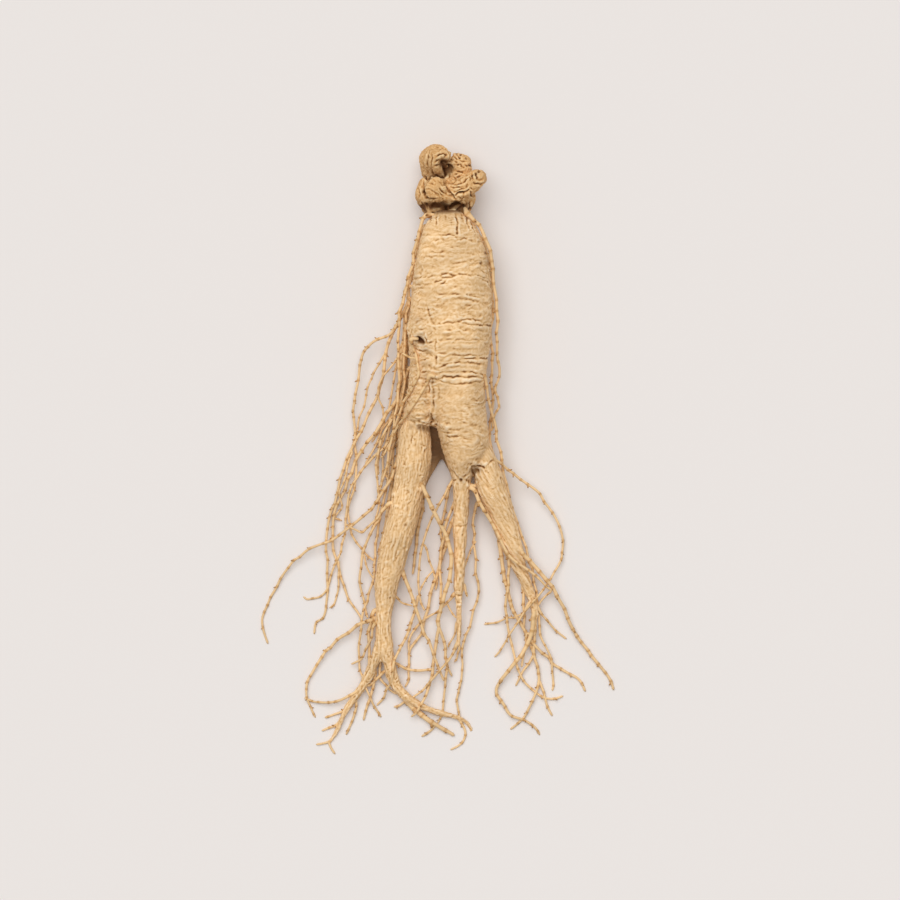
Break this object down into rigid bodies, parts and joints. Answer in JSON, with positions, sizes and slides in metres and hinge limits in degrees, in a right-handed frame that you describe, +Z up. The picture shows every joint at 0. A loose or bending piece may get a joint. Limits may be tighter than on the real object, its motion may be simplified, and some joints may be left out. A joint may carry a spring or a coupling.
{
  "type": "dried ginseng root",
  "caption": "Whole dried ginseng root lying flat: knobbly rhizome head, ringed main root, forked legs and a fan of long thin rootlets.",
  "frame": {"origin": "middle of the bounding box, on the surface that the root lies on", "axes": "+Y from the rootlets to the rhizome head, +Z up, +X to the right as the root is seen from above with its head at the top"},
  "size_m": [0.114, 0.1957, 0.023],
  "materials": {
    "root_skin": "dry matt root skin, wrinkled, tan with darker creases"
  },
  "bodies": {
    "root": {"ginseng_root": "root_skin"}
  },
  "joints": []
}
